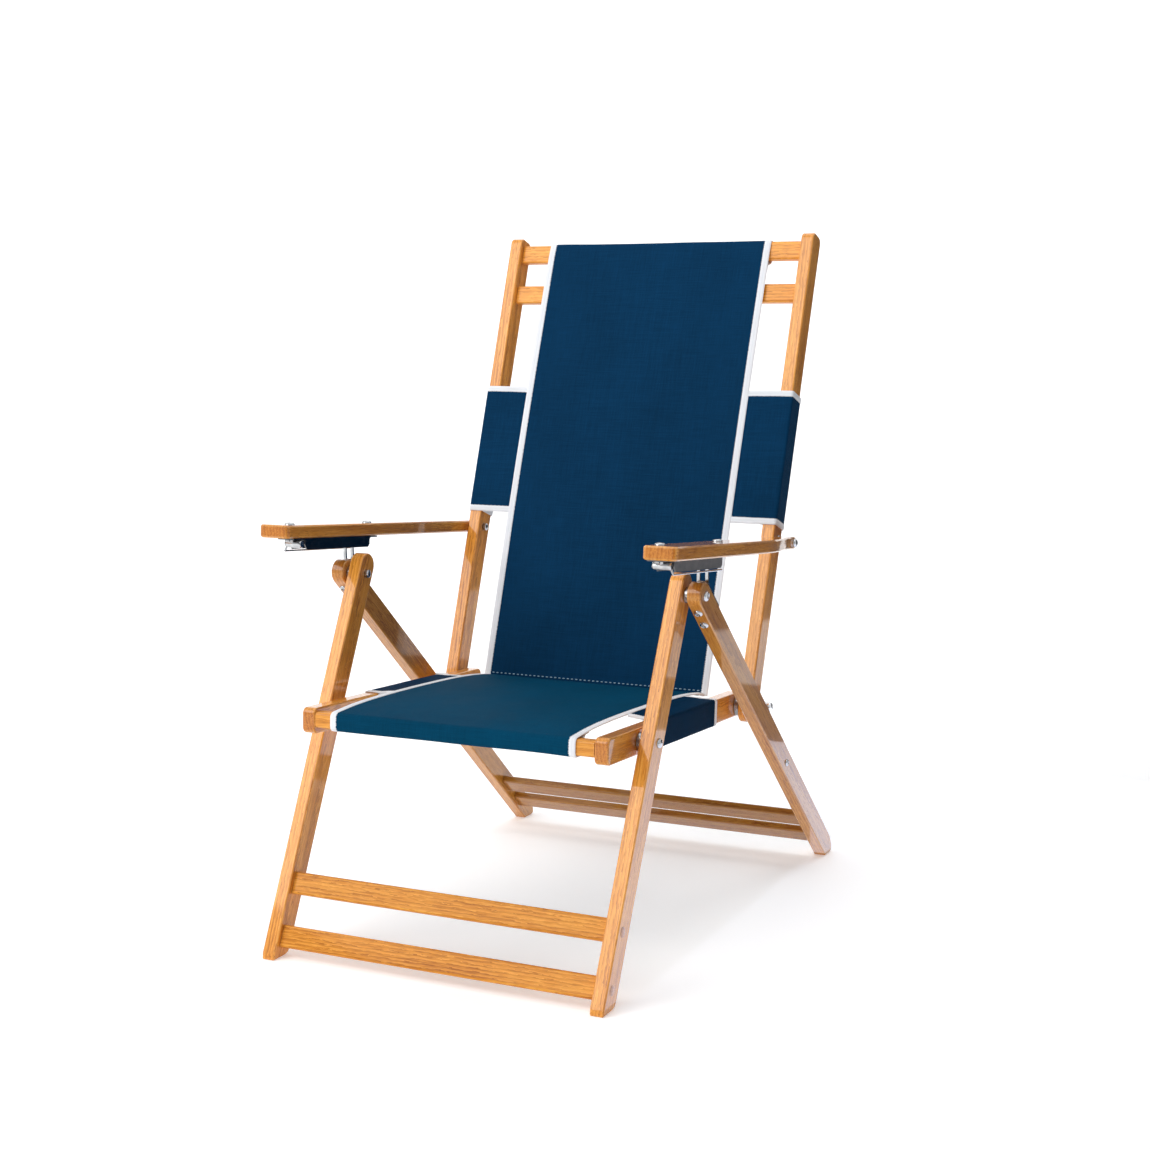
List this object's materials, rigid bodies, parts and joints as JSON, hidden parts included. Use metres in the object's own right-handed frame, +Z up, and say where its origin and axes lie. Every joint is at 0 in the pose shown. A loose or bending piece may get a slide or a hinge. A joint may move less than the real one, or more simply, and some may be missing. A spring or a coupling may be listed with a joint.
{
  "type": "folding deck chair",
  "caption": "Folding oak deck chair with a canvas sling seat, a reclining back held by chromed arm racks, and legs that fold flat.",
  "frame": {"origin": "middle of the footprint, on the floor", "axes": "+Z up; the sitter faces -Y; +X is the viewer's right when facing the chair's front"},
  "size_m": [0.62, 0.8578, 0.9931],
  "materials": {
    "oak": "gloss varnish",
    "chrome": "polished",
    "canvas": "plain woven, matte",
    "binding": "woven edge tape"
  },
  "bodies": {
    "front_frame": {"front_leg_right": "oak", "front_leg_left": "oak", "front_rail_upper": "oak", "front_rail_lower": "oak", "leg_pivot_bolt_right": "chrome", "leg_pivot_bolt_left": "chrome", "leg_spacer_right": "chrome", "leg_spacer_left": "chrome"},
    "rear_frame": {"rear_leg_right": "oak", "rear_leg_left": "oak", "rear_rail_upper": "oak", "rear_rail_lower": "oak", "latch_bail_right": "chrome", "latch_bail_left": "chrome", "strap_bolt_1_right": "chrome", "strap_bolt_1_left": "chrome", "strap_bolt_2_right": "chrome", "strap_bolt_2_left": "chrome", "seat_hook_right": "chrome", "seat_hook_left": "chrome", "hook_bolt_right": "chrome", "hook_bolt_left": "chrome"},
    "seat_frame": {"seat_side_rail_right": "oak", "seat_side_rail_left": "oak", "seat_front_rail": "oak", "seat_rear_rail": "oak", "seat_sling": "canvas", "seat_pivot_bolt_right": "chrome", "seat_pivot_bolt_left": "chrome", "seat_spacer_right": "chrome", "seat_spacer_left": "chrome", "seat_side_sleeve_right": "canvas", "seat_side_sleeve_left": "canvas"},
    "back_pins": {"back_pivot_bolt_right": "chrome", "back_pivot_bolt_left": "chrome", "back_spacer_right": "chrome", "back_spacer_left": "chrome"},
    "back_frame": {"back_upright_right": "oak", "back_upright_left": "oak", "back_rail_top": "oak", "back_rail_second": "oak", "back_sling": "canvas", "back_side_sleeve_right": "canvas", "back_side_sleeve_left": "canvas"},
    "arm_pin_right": {"arm_pivot_bolt_right": "chrome", "arm_washer_right": "chrome"},
    "arm_right": {"arm_right": "oak", "arm_rack_right": "chrome", "rack_roller_right": "chrome", "rack_bolt_1_right": "chrome", "rack_bolt_2_right": "chrome"},
    "arm_pin_left": {"arm_pivot_bolt_left": "chrome", "arm_washer_left": "chrome"},
    "arm_left": {"arm_left": "oak", "arm_rack_left": "chrome", "rack_roller_left": "chrome", "rack_bolt_1_left": "chrome", "rack_bolt_2_left": "chrome"}
  },
  "joints": [
    {"name": "leg_fold", "type": "hinge", "parent": "front_frame", "child": "rear_frame", "pos_m": [0, -0.16797, 0.504], "axis": [-1, 0, 0], "range_deg": [0, 75]},
    {"name": "seat_lift", "type": "hinge", "parent": "front_frame", "child": "seat_frame", "pos_m": [0, -0.25597, 0.3195], "axis": [1, 0, 0], "range_deg": [0, 67]},
    {"name": "back_carry", "type": "hinge", "parent": "seat_frame", "child": "back_pins", "pos_m": [0, 0.11403, 0.301], "axis": [-1, 0, 0], "range_deg": [0, 73.6]},
    {"name": "back_recline", "type": "hinge", "parent": "back_pins", "child": "back_frame", "pos_m": [0, 0.11403, 0.301], "axis": [-1, 0, 0], "range_deg": [0, 28]},
    {"name": "arm_level_right", "type": "hinge", "parent": "back_frame", "child": "arm_pin_right", "pos_m": [0, 0.19658, 0.53645], "axis": [1, 0, 0], "range_deg": [0, 20.8]},
    {"name": "arm_lift_right", "type": "hinge", "parent": "arm_pin_right", "child": "arm_right", "pos_m": [0, 0.19658, 0.53645], "axis": [-1, 0, 0], "range_deg": [0, 104]},
    {"name": "arm_level_left", "type": "hinge", "parent": "back_frame", "child": "arm_pin_left", "pos_m": [0, 0.19658, 0.53645], "axis": [1, 0, 0], "range_deg": [0, 20.8]},
    {"name": "arm_lift_left", "type": "hinge", "parent": "arm_pin_left", "child": "arm_left", "pos_m": [0, 0.19658, 0.53645], "axis": [-1, 0, 0], "range_deg": [0, 104]}
  ],
  "couplings": [
    {"joint": "seat_lift", "follows": "leg_fold", "ratio": 0.893},
    {"joint": "back_carry", "follows": "leg_fold", "ratio": 0.981},
    {"joint": "arm_level_right", "follows": "back_recline", "ratio": 0.74},
    {"joint": "arm_level_left", "follows": "back_recline", "ratio": 0.74}
  ]
}
